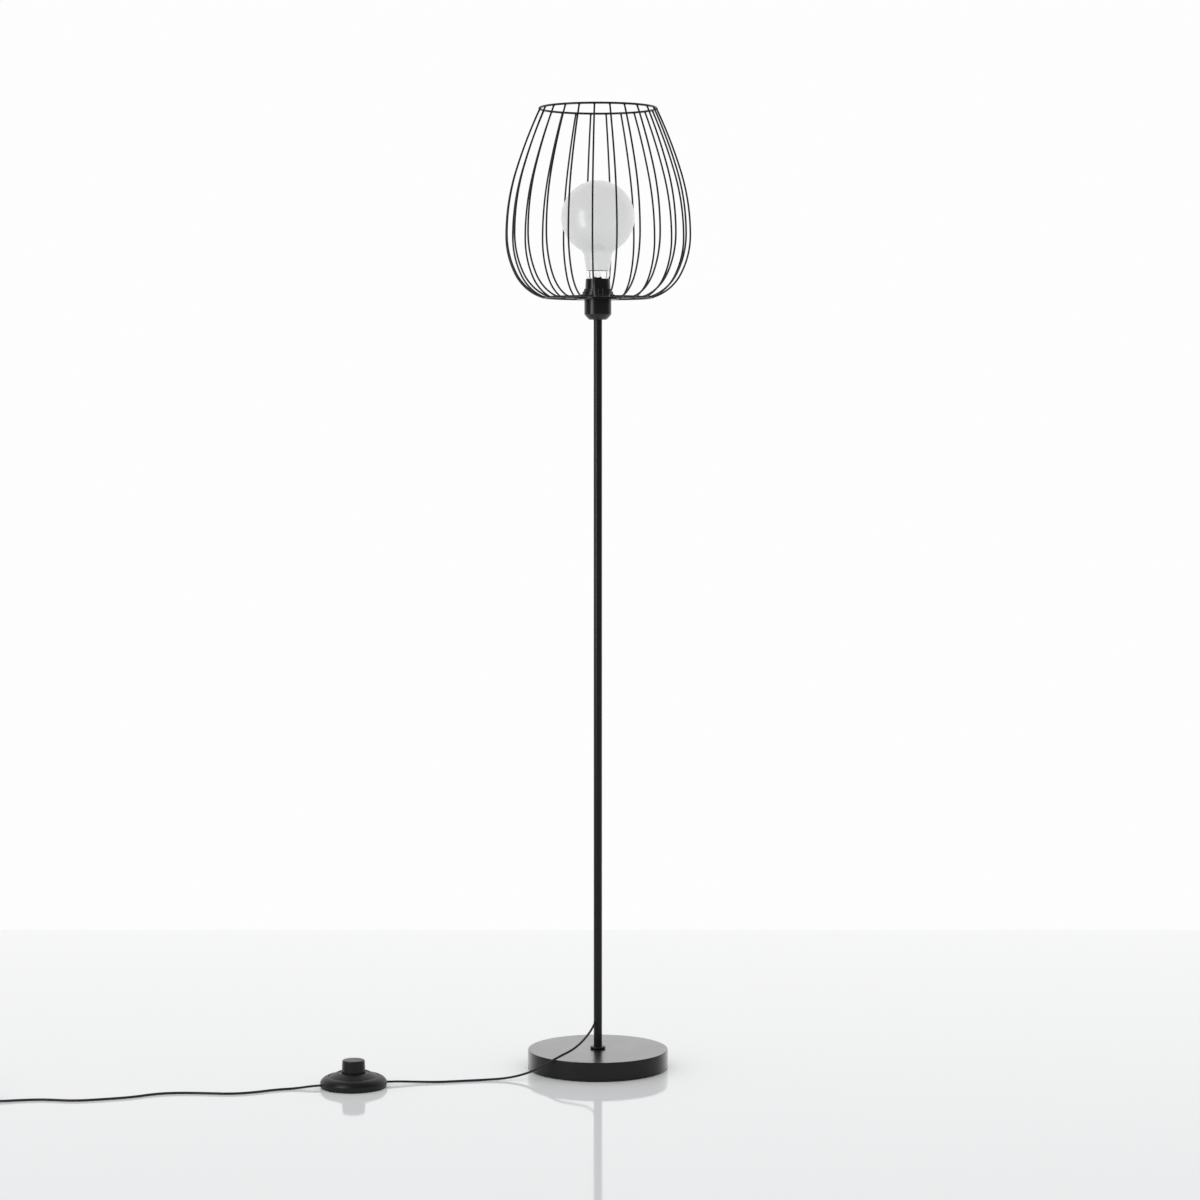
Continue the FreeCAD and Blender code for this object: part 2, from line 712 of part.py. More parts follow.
def make_switch_base(screw_spots, channels, rim_foot):
    """Plate with a lip inside the cover, the button's post, and the screws that come up through it."""
    lip = switch_plate_radius - switch_wall
    plate = turned(
        (0, 0), (switch_plate_radius - switch_plate_edge, 0), (switch_plate_radius, switch_plate_edge),
        (switch_plate_radius, switch_plate), (lip, switch_plate), (lip, rim_foot),
        (lip - switch_wall, rim_foot), (lip - switch_wall, switch_plate), (0, switch_plate))
    plate = plate.fuse(rod(post_radius, post_top - switch_plate, UP * switch_plate))
    head_top = switch_screw_sink + switch_screw_head_height
    screws = []
    for spot in screw_spots:
        plate = plate.cut(rod(switch_screw_radius + PASSING, switch_plate, spot))
        plate = plate.cut(rod(switch_screw_head + PASSING, head_top, spot))
        head = rod(switch_screw_head, switch_screw_head_height, spot + UP * switch_screw_sink)
        shank = rod(switch_screw_radius, switch_plate + switch_screw_reach - head_top, spot + UP * head_top)
        screws.append(head.fuse(shank).removeSplitter())
    for channel in channels:
        plate = plate.cut(channel)
    place("switch_base", plate.removeSplitter())
    place("switch_screws", *screws)


def make_switch_contacts():
    """A terminal block at each cord's end, with a blade that reaches in towards the rotor."""
    blade_start = rotor_radius + blade_gap
    block = Part.makeBox(terminal_outer - terminal_inner, terminal_width, terminal_height,
                         V(terminal_inner, -terminal_width / 2, switch_plate))
    blade = Part.makeBox(terminal_inner - blade_start, blade_width, blade_sheet,
                         V(blade_start, -blade_width / 2, switch_plate))
    place("switch_contacts", *around(block.fuse(blade).removeSplitter(), 2))


def make_switch_button(ceiling, flange_top):
    """Hollow button with a flange that holds it under the cover, and a boss that slides on the post."""
    bore = post_radius + RUNNING
    flange_foot = flange_top - button_flange
    shoulder = (button_top_radius, button_top - button_rounding)
    brim = (button_top_radius - button_rounding, button_top)
    place("switch_button", turned(
        (bore, flange_foot), (button_boss_radius, flange_foot), (button_boss_radius, ceiling),
        (button_top_radius - button_wall, ceiling), (button_foot_radius - button_wall, flange_foot),
        (button_flange_radius, flange_foot), (button_flange_radius, flange_top),
        (button_foot_radius, flange_top), shoulder, bowed(shoulder, brim, button_rounding * QUARTER_RISE),
        (0, button_top), (0, ceiling), (bore, ceiling)))


# ---- cords --------------------------------------------------------------------------------------
def switch_point(along):
    """Point on the cords' line through the switch, so far from the switch's middle."""
    return V(switch_x, switch_y, cord_entry_height) + direction(switch_turn) * along


def make_lamp_cord(exit_point, exit_way):
    """From the pole's grommet, over the front of the base, along the floor to the switch."""
    floor = cord_radius
    points = [
        exit_point,
        exit_point + exit_way * 18.0,
        V(-34, -66, 44.0),
        V(-60, -88, 35.3),
        V(-82, -91.5, 23.0),
        V(-106, -92, 11.0),
        V(-138, -95, 3.2),
        V(-176, -100, floor),
        V(-213, -108, floor),
        V(-247, -115.5, floor),
        V(-279, -117.5, 2.6),
        switch_point(61.0),
        switch_point(terminal_outer)]
    keep("cord_lamp_to_switch", cord_tube("cord_lamp_to_switch", points))


def smooth_step(x):
    x = min(max(x, 0.0), 1.0)
    return x * x * (3 - 2 * x)


def soft_fold(turns, span):
    """Turns wound inwards so far, going back and forth over the span with rounded reversals."""
    phase = turns % (2 * span)
    folded = min(phase, 2 * span - phase)
    if turns < coil_reversal or turns > coil_turns - coil_reversal:
        return folded
    edge = 0.0 if folded < span / 2 else span
    gap = abs(folded - edge)
    if gap >= coil_reversal:
        return folded
    return abs(edge - (gap ** 2 + coil_reversal ** 2) / (2 * coil_reversal))


def coil_point(turns):
    """The coil's middle line: in and out between two radii, a layer up in the half turn between."""
    layer_turns = coil_turns / coil_layers
    radius = coil_outer - coil_pitch * soft_fold(turns, layer_turns)
    climbed = sum(smooth_step((turns - layer * layer_turns) * 2 + 0.5) for layer in range(1, coil_layers))
    height = cord_radius + tie_thickness + LOOSE + coil_pitch * climbed
    return V(coil_x, coil_y, height) + direction(-90.0 - 360.0 * turns) * radius


def make_spare_cord():
    """From the switch along the floor, out of the picture at its left edge, coiled, and to the plug."""
    floor = cord_radius
    start = coil_point(0.0)
    points = [
        switch_point(-terminal_outer),
        switch_point(-61.0),
        V(-460, -160.5, floor),
        V(-489, -168, floor),
        V(-521, -188, floor),
        V(-554, -198, floor),
        V(-592, -193, floor),
        V(-634, -190, floor),
        V(-668, -197, floor),
        V(-700, -220, floor),
        V(-740, -234, floor),
        V(-785, -246, floor),
        V(-830, -235, floor),
        V(-868, -241, floor),
        V(-895, -249.5, floor + 0.3),
        start + V(20.0, 0, 0),
        start + V(cord_diameter, 0, 0)]
    keep("cord_switch_to_coil", cord_tube("cord_switch_to_coil", points))
    keep("cord_coil", wound("cord_coil", coil_point, coil_turns, cord_radius, cord_diameter))

    lead_start = coil_point(coil_turns) + AWAY * cord_diameter
    boot_start = V(lead_start.x, lead_start.y + plug_distance, plug_thickness / 2)
    lead = [lead_start, lead_start + AWAY * 14.0, boot_start - AWAY * 14.0, boot_start]
    keep("cord_plug_lead", cord_tube("cord_plug_lead", lead))
    return boot_start


def make_tie():
    """Flat tie round the bundle of turns, with its head on the coil's outside."""
    inner = coil_outer - coil_pitch * coil_turns / coil_layers - cord_radius - LOOSE
    outer = coil_outer + cord_radius + LOOSE
    room = cord_diameter + coil_pitch * (coil_layers - 1) + 2 * LOOSE
    hole = Part.makeBox(outer - inner, tie_width, room, V(inner, -tie_width / 2, tie_thickness))
    band = Part.makeBox(outer - inner + 2 * tie_thickness, tie_width, room + 2 * tie_thickness,
                        V(inner - tie_thickness, -tie_width / 2, 0))
    edges = [edge for edge in band.Edges if abs(edge.tangentAt(edge.FirstParameter).y) > 0.99]
    band = band.makeFillet(tie_corner, edges).cut(hole)
    width = tie_width + 2 * tie_head_side
    head = Part.makeBox(tie_head_length, width, tie_head_height,
                        V(outer + tie_thickness / 2, -width / 2, tie_head_foot))
    head = head.makeFillet(tie_corner, head.Edges)
    tie = band.fuse(head).removeSplitter()
    tie.rotate(ORIGIN, UP, tie_azimuth)
    keep("cord_tie", tie.translated(V(coil_x, coil_y, 0)))


# ---- plug ---------------------------------------------------------------------------------------
def rounded_frame(width, thickness, corner, y):
    """Closed wire of a rounded rectangle, upright across Y."""
    w, t = width / 2 - corner, thickness / 2 - corner
    edges = []
    here = V(w + corner, y, -t)
    for i, (side, level) in enumerate([(1, 1), (-1, 1), (-1, -1), (1, -1)]):
        centre = V(side * w, y, level * t)
        spots = [centre + V(math.cos(a), 0, math.sin(a)) * corner
                 for a in (math.radians(90 * i + 45 * j) for j in range(3))]
        edges += [Part.makeLine(here, spots[0]), Part.Arc(*spots).toShape()]
        here = spots[2]
    return Part.Wire(edges)


def make_plug(boot_start):
    """Flat two-pin plug lying on the floor, its tapered boot towards the coil."""
    boot = Part.makeCone(boot_tip_radius, boot_root_radius, plug_boot_length, ORIGIN, AWAY)
    keep("plug_boot", boot.translated(boot_start))

    neck_corner = plug_neck_thickness / 2 - plug_neck_flat
    shoulder = rounded_frame(plug_width, plug_thickness, plug_corner, plug_taper_length)
    neck = rounded_frame(plug_neck_width, plug_neck_thickness, neck_corner, 0.0)
    taper = upright(Part.makeLoft([neck, shoulder], True, True))
    block = upright(Part.Face(shoulder).extrude(AWAY * plug_body_length))
    body = taper.fuse(block).removeSplitter()
    face = plug_taper_length + plug_body_length
    pins = []
    for side in (-1, 1):
        foot = V(side * pin_spacing / 2, face, 0)
        root = rod(pin_root_radius, pin_root, foot, -AWAY)
        body = body.cut(root)
        pin = rod(pin_radius, pin_length, foot, AWAY)
        tip = [edge for edge in pin.Edges if abs(edge.CenterOfMass.y - face - pin_length) < 1e-6]
        pins.append(pin.makeFillet(pin_rounding, tip).fuse(root))
    offset = boot_start + AWAY * plug_boot_length
    keep("plug_body", body.translated(offset))
    keep("plug_pins", *[pin.translated(offset) for pin in pins])


def main():
    make_base()
    exit_point, exit_way = make_pole()
    make_lampholder()
    make_shade_ring()
    make_cage()
    make_bulb()
    make_switch()
    make_lamp_cord(exit_point, exit_way)
    boot_start = make_spare_cord()
    make_tie()
    make_plug(boot_start)
    os.makedirs("parts", exist_ok=True)
    for name, shape in nodes.items():
        for solid in shape.Solids:
            if not solid.isValid() or solid.Volume <= 0:
                print("check the solid of", name)
        shape.exportStep(f"parts/{name}.step")
    print(len(nodes), "nodes")


main()
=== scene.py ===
import math

import bmesh
import bpy
from mathutils import Matrix, Vector


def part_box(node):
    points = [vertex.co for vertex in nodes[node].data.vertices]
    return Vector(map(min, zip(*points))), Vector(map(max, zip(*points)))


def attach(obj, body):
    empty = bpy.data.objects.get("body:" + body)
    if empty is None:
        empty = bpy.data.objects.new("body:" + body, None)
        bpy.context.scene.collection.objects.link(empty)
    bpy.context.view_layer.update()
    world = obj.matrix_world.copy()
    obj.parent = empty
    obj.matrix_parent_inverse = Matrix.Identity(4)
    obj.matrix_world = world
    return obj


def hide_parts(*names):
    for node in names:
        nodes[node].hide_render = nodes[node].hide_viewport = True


# Wire cage floor lamp in a white studio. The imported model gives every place; sizes here are in
# millimetres, and become metres where a mesh, a curve or the camera is made.

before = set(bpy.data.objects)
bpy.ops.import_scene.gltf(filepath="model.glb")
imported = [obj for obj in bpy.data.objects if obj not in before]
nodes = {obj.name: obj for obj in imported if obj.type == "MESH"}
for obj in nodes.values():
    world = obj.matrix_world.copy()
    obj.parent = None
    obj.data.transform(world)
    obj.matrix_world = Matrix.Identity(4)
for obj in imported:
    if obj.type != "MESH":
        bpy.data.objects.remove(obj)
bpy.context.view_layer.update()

MM = 0.001
UP = Vector((0, 0, 1))
UNTURNED = Matrix.Identity(4)


def low(node):
    """Lowest corner of a CAD node, in millimetres."""
    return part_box(node)[0] / MM


def high(node):
    """Highest corner of a CAD node, in millimetres."""
    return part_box(node)[1] / MM


def middle(node):
    return (low(node) + high(node)) / 2


def radius_of(node):
    """Outer radius of a CAD node that is turned about an upright axis, in millimetres."""
    return (high(node).x - low(node).x) / 2


# ---- camera -------------------------------------------------------------------------------------
CAMERA_PLACE = Vector((0.00334, -4.8738, 1.0423))
CAMERA_PITCH = 3.581     # degrees below level
CAMERA_LENS = 93.9       # on a 36 mm sensor


def make_camera():
    data = bpy.data.cameras.new("camera")
    data.lens = CAMERA_LENS
    camera = bpy.data.objects.new("camera", data)
    camera.location = CAMERA_PLACE
    camera.rotation_euler = (math.radians(90 - CAMERA_PITCH), 0, 0)
    bpy.context.scene.collection.objects.link(camera)
    bpy.context.scene.camera = camera


# ---- finishes -----------------------------------------------------------------------------------
def add_node(tree, kind, settings=(), **inputs):
    """A shader node. Each input is a number, a colour or another node's output, with _ for a space."""
    node = tree.nodes.new(kind)
    for key, value in dict(settings).items():
        setattr(node, key, value)
    for key, value in inputs.items():
        name = key.replace("_", " ")
        if isinstance(value, bpy.types.NodeSocket):
            tree.links.new(value, node.inputs[name])
        else:
            node.inputs[name].default_value = value
    return node


def grey(level, warmth=0.0):
    """Colour of an even grey, slightly warm or cool."""
    return (level * (1 + warmth), level, level * (1 - warmth), 1.0)


def shade(colour, factor):
    return tuple(min(1.0, part * factor) for part in colour[:3]) + (1.0,)


class Finish:
    """A material whose colour, roughness and surface vary a little, as the real finish does."""

    def __init__(self, name, colour, roughness, tint=0.12, spread=0.05, patch=40.0,
                 grain=1.0, relief=0.01, stretch=(1, 1, 1), slot=None, **sockets):
        """patch and grain are the sizes of the large and small variation, relief its depth, in mm.

        slot is kept as a second name, where that isn't its own name; nothing in this script uses it.
        """
        self.slot = slot or name
        self.material = bpy.data.materials.new(name)
        self.material.use_nodes = True
        self.tree = self.material.node_tree
        self.shader = self.tree.nodes["Principled BSDF"]
        for key, value in sockets.items():
            self.shader.inputs[key.replace("_", " ")].default_value = value
        place = add_node(self.tree, "ShaderNodeTexCoord").outputs["Object"]
        self.place = add_node(self.tree, "ShaderNodeMapping", Vector=place, Scale=stretch).outputs[0]
        self.patches = self.noise(patch)
        self.grains = self.noise(grain, detail=4.0)
        self.set_colour(shade(colour, 1 - tint), shade(colour, 1 + tint), self.patches)
        self.set_roughness(roughness - spread, roughness + spread, self.patches)
        self.set_relief(relief, self.grains)

    def noise(self, size, detail=2.0):
        """Soft noise with features of that size in millimetres."""
        return add_node(self.tree, "ShaderNodeTexNoise", Vector=self.place, Scale=1 / (size * MM),
                        Detail=detail).outputs[0]

    def ramp(self, factor, start, end, low_value=0.0, high_value=1.0):
        node = add_node(self.tree, "ShaderNodeMapRange", Value=factor, From_Min=start, From_Max=end,
                        To_Min=low_value, To_Max=high_value)
        return node.outputs[0]

    def mixed(self, first, second, factor):
        """Colour between two, of which the first may be another node's output."""
        mix = add_node(self.tree, "ShaderNodeMix", {"data_type": "RGBA"}, Factor=factor)
        if isinstance(first, bpy.types.NodeSocket):
            self.tree.links.new(first, mix.inputs[6])
        else:
            mix.inputs[6].default_value = first
        mix.inputs[7].default_value = second
        return mix.outputs[2]

    def set_colour(self, first, second, factor):
        self.tree.links.new(self.mixed(first, second, factor), self.shader.inputs["Base Color"])

    def set_roughness(self, first, second, factor):
        self.tree.links.new(self.ramp(factor, 0.3, 0.7, first, second), self.shader.inputs["Roughness"])

    def set_relief(self, relief, height):
        bump = add_node(self.tree, "ShaderNodeBump", Height=height, Distance=relief * MM)
        self.tree.links.new(bump.outputs[0], self.shader.inputs["Normal"])

    def below(self, axis, level, softness):
        """1 below a level along an axis, 0 above it, in millimetres."""
        split = add_node(self.tree, "ShaderNodeSeparateXYZ", Vector=self.place)
        return self.ramp(split.outputs[axis], (level + softness) * MM, (level - softness) * MM)


def make_finishes():
    black = grey(0.0085)
    return {
        "black_steel": Finish("black_steel", black, 0.30, spread=0.03, grain=0.9, relief=0.006,
                              Specular_IOR_Level=0.35),
        "base_lacquer": make_base_lacquer(),
        "holder_plastic": Finish("holder_plastic", black, 0.25, spread=0.04, grain=2.5, relief=0.006,
                                 Specular_IOR_Level=0.4),
        "switch_plastic": Finish("switch_plastic", grey(0.010, 0.06), 0.40, grain=0.35, relief=0.004,
                                 Specular_IOR_Level=0.32),
        "button_plastic": Finish("button_plastic", grey(0.010, 0.04), 0.36, grain=0.3, relief=0.006,
                                 Specular_IOR_Level=0.45),
        "cord_sheath": Finish("cord_sheath", grey(0.010), 0.38, patch=15, grain=0.8, relief=0.015),
        "plug_plastic": Finish("plug_plastic", grey(0.015), 0.38, grain=0.3, relief=0.010),
        "black_rubber": Finish("black_rubber", grey(0.015), 0.62, grain=0.4, relief=0.012),
        "cast_filler": Finish("cast_filler", grey(0.42, 0.03), 0.92, tint=0.3, patch=6, grain=0.9,
                              relief=0.25),
        "felt": Finish("felt", grey(0.035), 0.95, tint=0.4, patch=1.5, grain=0.25, relief=0.12,
                       Sheen_Weight=0.4),
        "zinc_steel": Finish("zinc_steel", grey(0.62, -0.02), 0.34, tint=0.08, patch=3, grain=0.3,
                             relief=0.006, stretch=(1, 1, 0.2), Metallic=1.0),
        "brass": Finish("brass", (0.72, 0.50, 0.22, 1), 0.28, tint=0.08, patch=4, grain=0.3,
                        relief=0.005, Metallic=1.0),
        "cap_metal": Finish("cap_metal", grey(0.78, 0.02), 0.24, tint=0.06, patch=5, grain=0.4,
                            relief=0.006, Metallic=1.0),
        "solder": Finish("solder", grey(0.55), 0.42, patch=2, grain=0.8, relief=0.08, Metallic=1.0),
        "white_ceramic": Finish("white_ceramic", grey(0.78, 0.03), 0.45, tint=0.04, patch=8, grain=0.5,
                                relief=0.02, Coat_Weight=0.3),
        "dark_glass": Finish("dark_glass", grey(0.012), 0.10, spread=0.03, grain=2, relief=0.01,
                             Coat_Weight=0.5),
        "clear_glass": Finish("clear_glass", grey(0.97), 0.04, tint=0.01, spread=0.02, grain=4,
                              relief=0.01, Transmission_Weight=1.0, IOR=1.2),
        "filament": Finish("filament", (0.72, 0.60, 0.30, 1), 0.5, patch=1.5, grain=0.3, relief=0.02),
        "rotor_plastic": Finish("rotor_plastic", grey(0.72, 0.02), 0.48, tint=0.04, grain=0.5,
                                relief=0.01, Subsurface_Weight=0.1),
        "opal_glass": make_opal_glass(),
        "plated_pins": make_plated_pins()}


LACQUER_COAT = 1.0      # weight of the clear coat where the sight grazes it
GRAZING = (0.5, 0.8)     # from no coat to all of it


def make_base_lacquer():
    """Satin lacquer that mirrors only at a grazing sight, as on the top of the base."""
    finish = Finish("base_lacquer", grey(0.0085), 0.30, spread=0.03, grain=0.9, relief=0.006,
                    slot="black_steel", Specular_IOR_Level=0.35, Coat_Roughness=0.28)
    facing = add_node(finish.tree, "ShaderNodeLayerWeight").outputs["Facing"]
    coat = finish.ramp(facing, *GRAZING, 0.0, LACQUER_COAT)
    finish.tree.links.new(coat, finish.shader.inputs["Coat Weight"])
    return finish


OPAL_EDGE = 12.95        # height of the opal coat's lower edge above the lampholder's mouth
OPAL_EDGE_SOFTNESS = 0.35
OPAL_TOP = 0.79          # colour at the globe's top
OPAL_FOOT_PAINTED_LIGHT = 0.89         # and at its foot, lighter: painted light standing in for light scattered inside the globe
OPAL_ROUGHNESS, OPAL_IOR = 0.2, 1.5
CLEAR_COLOUR, CLEAR_ROUGHNESS, CLEAR_IOR = 0.99, 0.02, 1.15


def make_opal_glass():
    """Glass with a white coat inside that stops short of the lampholder, where the neck is clear. Its
    colour gets lighter towards the foot: painted light.
    """
    finish = Finish("opal_glass", grey(OPAL_FOOT_PAINTED_LIGHT), OPAL_ROUGHNESS, grain=12)
    clear = finish.below(2, high("holder_barrel").z + OPAL_EDGE, OPAL_EDGE_SOFTNESS)
    finish.tree.links.new(clear, finish.shader.inputs["Transmission Weight"])
    globe = radius_of("bulb_globe")
    # foot masks painted light: the globe's colour lightens towards its lower half.
    foot = finish.below(2, high("bulb_globe").z - globe, globe)
    finish.set_colour(finish.mixed(grey(OPAL_TOP), grey(OPAL_FOOT_PAINTED_LIGHT), foot), grey(CLEAR_COLOUR), clear)
    roughness = finish.ramp(clear, 0, 1, OPAL_ROUGHNESS, CLEAR_ROUGHNESS)
    finish.tree.links.new(roughness, finish.shader.inputs["Roughness"])
    finish.tree.links.new(finish.ramp(clear, 0, 1, OPAL_IOR, CLEAR_IOR), finish.shader.inputs["IOR"])
    return finish


PIN_SLEEVE = 9.5         # length of the insulating sleeve on each pin
PIN_SLEEVE_SOFTNESS = 0.1
PIN_COLOUR = grey(0.74, 0.03)
PIN_SLEEVE_COLOUR = grey(0.016)
PIN_ROUGHNESS = (0.2, 0.45)      # of the metal and of the sleeve


def make_plated_pins():
    """Nickel-plated pins, each with a black sleeve next to the plug."""
    finish = Finish("plated_pins", PIN_COLOUR, PIN_ROUGHNESS[0], patch=3, grain=0.5, relief=0.004)
    sleeve = finish.below(1, high("plug_body").y + PIN_SLEEVE, PIN_SLEEVE_SOFTNESS)
    finish.set_colour(PIN_COLOUR, PIN_SLEEVE_COLOUR, sleeve)
    finish.tree.links.new(finish.ramp(sleeve, 1, 0), finish.shader.inputs["Metallic"])
    finish.tree.links.new(finish.ramp(sleeve, 0, 1, *PIN_ROUGHNESS), finish.shader.inputs["Roughness"])
    return finish


# ---- meshes -------------------------------------------------------------------------------------
ROUNDING_STEPS = 6


def rounded(corners):
    """Points (r, z) of a closed outline whose corners (r, z, rounding) are rounded."""
    points = []
    for i, (r, z, rounding) in enumerate(corners):
        here = Vector((r, z))
        if not rounding:
            points.append((r, z))
            continue
        back = Vector(corners[i - 1][:2]) - here
        ahead = Vector(corners[(i + 1) % len(corners)][:2]) - here
        half = back.angle(ahead) / 2
        reach = min(rounding / math.tan(half), 0.48 * back.length, 0.48 * ahead.length)
        radius = reach * math.tan(half)
        start = here + back.normalized() * reach
        end = here + ahead.normalized() * reach
        centre = here + (back.normalized() + ahead.normalized()).normalized() * (radius / math.sin(half))
        for k in range(ROUNDING_STEPS + 1):
            spoke = (start - centre).lerp(end - centre, k / ROUNDING_STEPS)
            # Even steps along the chord, thrown out to the circle.
            points.append(tuple(centre + spoke.normalized() * radius))
    return points


def bow(start, end, rise, steps=10):
    """Corners between two points of an outline, on an arc bulging to the right of the chord by the rise."""
    a, b = Vector(start), Vector(end)
    chord = b - a
    right = Vector((chord.y, -chord.x)).normalized()
    corners = []
    for k in range(1, steps):
        t = k / steps
        point = a + chord * t + right * (4 * rise * t * (1 - t))
        corners.append((point.x, point.y, 0))
    return corners


def turned(outline, segments=96, ripple=None):
    """Points and faces of an outline (r, z) turned about Z. ripple(r, z, angle) may change the radius."""
    points = []
    rings = []
    for r, z in outline:
        first = len(points)
        if r < 1e-6:
            points.append((0, 0, z))
            rings.append([first] * segments)
            continue
        for i in range(segments):
            angle = 2 * math.pi * i / segments
            reach = ripple(r, z, angle) if ripple else r
            points.append((reach * math.cos(angle), reach * math.sin(angle), z))
        rings.append(list(range(first, first + segments)))
    faces = []
    for near, far in zip(rings, rings[1:] + rings[:1]):
        for i in range(segments):
            j = (i + 1) % segments
            corners = list(dict.fromkeys((near[i], near[j], far[j], far[i])))
            if len(corners) > 2:
                faces.append(corners)
    return points, faces


def lofted(sections):
    """Points and faces of a closed skin over sections with equally many points, capped at both ends."""
    count = len(sections[0])
    points = [tuple(point) for section in sections for point in section]
    faces = [list(range(count)), list(range(len(points) - count, len(points)))]
    for s in range(len(sections) - 1):
        for i in range(count):
            j = (i + 1) % count
            faces.append([s * count + i, s * count + j, (s + 1) * count + j, (s + 1) * count + i])
    return points, faces


def piece(name, parts, finish, body, *replaced):
    """A smooth piece of one or more parts (points, faces, place), in place of the CAD nodes named."""
    mesh = bmesh.new()
    for points, faces, place in parts:
        corners = [mesh.verts.new(place @ Vector(point)) for point in points]
        for face in faces:
            mesh.faces.new([corners[i] for i in face]).smooth = True
    bmesh.ops.recalc_face_normals(mesh, faces=mesh.faces)
    bmesh.ops.scale(mesh, vec=(MM, MM, MM), verts=mesh.verts)
    data = bpy.data.meshes.new(name)
    mesh.to_mesh(data)
    mesh.free()
    data.materials.append(finish.material)
    made = bpy.data.objects.new(name, data)
    bpy.context.scene.collection.objects.link(made)
    made.modifiers.new("flat_faces_stay_flat", "WEIGHTED_NORMAL").weight = 80
    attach(made, body)
    if replaced:
        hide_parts(*replaced)
    return made


def turned_piece(name, corners, finish, body, *replaced, place=UNTURNED, segments=96, ripple=None):
    points, faces = turned(rounded(corners), segments, ripple)
    return piece(name, [(points, faces, place)], finish, body, *replaced)


def dress(finish, *names):
    """Gives CAD nodes that stay as they are their finish."""
    for name in names:
        node = nodes[name]
        if not node.data.materials:
            node.data.materials.append(None)
        for slot in node.material_slots:
            slot.material = finish.material


# ---- cords --------------------------------------------------------------------------------------
CORD_DIAMETER = 3.5
CORD_RADIUS = CORD_DIAMETER / 2
SWITCH_TURN = math.radians(15.0)
CORD_ENTRY = 4.8         # height of the cords' line through the switch
TERMINAL = 29.0          # of the cords' ends from the switch's middle
SWITCH_RUN = 61.0        # the cord is straight this far from the switch's middle
HOLE_AZIMUTH = math.radians(240.0)
HOLE_DIP = math.radians(45.0)
CORD_HOLE_RISE = 45.0    # above the base
GROMMET_OUTSIDE = 3.2
EXIT_RUN = 18.0          # the cord leaves the grommet straight this far
COIL_TURNS = 8.25
COIL_LAYERS = 4
COIL_OUTER = 24.3
COIL_PITCH = 4.2
COIL_REVERSAL = 0.12
COIL_STEPS = 16          # points in each turn
COIL_FOOT = 2.85         # height of the lowest turn's middle line
COIL_MIDDLE = Vector((-938.0, -225.5, 0))
COIL_LEAD = 20.0         # straight run into the coil
COIL_TAIL = 17.5         # and out of it
BOOT_LEAD = 14.0         # straight run into the plug's boot


def switch_point(along):
    """Point on the cords' line through the switch, so far from the switch's middle."""
    centre = middle("switch_cover")
    return Vector((centre.x + along * math.cos(SWITCH_TURN), centre.y + along * math.sin(SWITCH_TURN),
                   CORD_ENTRY))


def exit_way():
    """Direction in which the cord leaves the pole."""
    level = math.cos(HOLE_DIP)
    return Vector((math.cos(HOLE_AZIMUTH) * level, math.sin(HOLE_AZIMUTH) * level, -math.sin(HOLE_DIP)))


def exit_point():
    """Where the cord leaves the grommet."""
    out = radius_of("pole_lower") / math.cos(HOLE_DIP)
    corner = UP * (low("pole_lower").z + CORD_HOLE_RISE + out * math.sin(HOLE_DIP))
    return corner + exit_way() * (out + GROMMET_OUTSIDE)


def smooth_step(x):
    x = min(max(x, 0.0), 1.0)
    return x * x * (3 - 2 * x)


def soft_fold(turns, span):
    """Turns wound inwards so far, going back and forth over the span with rounded reversals."""
    phase = turns % (2 * span)
    folded = min(phase, 2 * span - phase)
    if turns < COIL_REVERSAL or turns > COIL_TURNS - COIL_REVERSAL:
        return folded
    edge = 0.0 if folded < span / 2 else span
    gap = abs(folded - edge)
    if gap >= COIL_REVERSAL:
        return folded
    return abs(edge - (gap ** 2 + COIL_REVERSAL ** 2) / (2 * COIL_REVERSAL))


def coil_point(centre, turns):
    layer_turns = COIL_TURNS / COIL_LAYERS
    radius = COIL_OUTER - COIL_PITCH * soft_fold(turns, layer_turns)
    climbed = sum(smooth_step((turns - layer * layer_turns) * 2 + 0.5) for layer in range(1, COIL_LAYERS))
    angle = math.radians(-90 - 360 * turns)
    return Vector((centre.x + radius * math.cos(angle), centre.y + radius * math.sin(angle),
                   COIL_FOOT + COIL_PITCH * climbed))


def cord_curve(name, points, finish, *replaced):
    """A round cord on one smooth curve with the route's points as its control points."""
    data = bpy.data.curves.new(name, "CURVE")
    data.dimensions = "3D"
    data.bevel_depth = CORD_RADIUS * MM
    data.bevel_resolution = 5
    data.use_fill_caps = True
    spline = data.splines.new("NURBS")
    spline.points.add(len(points) - 1)
    for knot, point in zip(spline.points, points):
        knot.co = (*(Vector(point) * MM), 1)
    spline.order_u = 3
    spline.use_endpoint_u = True
    spline.resolution_u = 10
    data.materials.append(finish.material)
    made = bpy.data.objects.new(name, data)
    bpy.context.scene.collection.objects.link(made)
    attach(made, "lamp")
    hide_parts(*replaced)
    return made


def make_lamp_cord(finish):
    """From the pole's grommet, over the front of the base, along the floor to the switch."""
    points = [
        exit_point(),
        exit_point() + exit_way() * EXIT_RUN,
        (-34, -66, 44.0),
        (-60, -88, 35.3),
        (-82, -91.5, 23.0),
        (-106, -92, 11.0),
        (-138, -95, 3.2),
        (-176, -100, CORD_RADIUS),
        (-213, -108, CORD_RADIUS),
        (-247, -115.5, CORD_RADIUS),
        (-279, -117.5, 2.6),
        switch_point(SWITCH_RUN),
        switch_point(TERMINAL)]
    cord = cord_curve("lamp_cord", points, finish, "cord_lamp_to_switch")


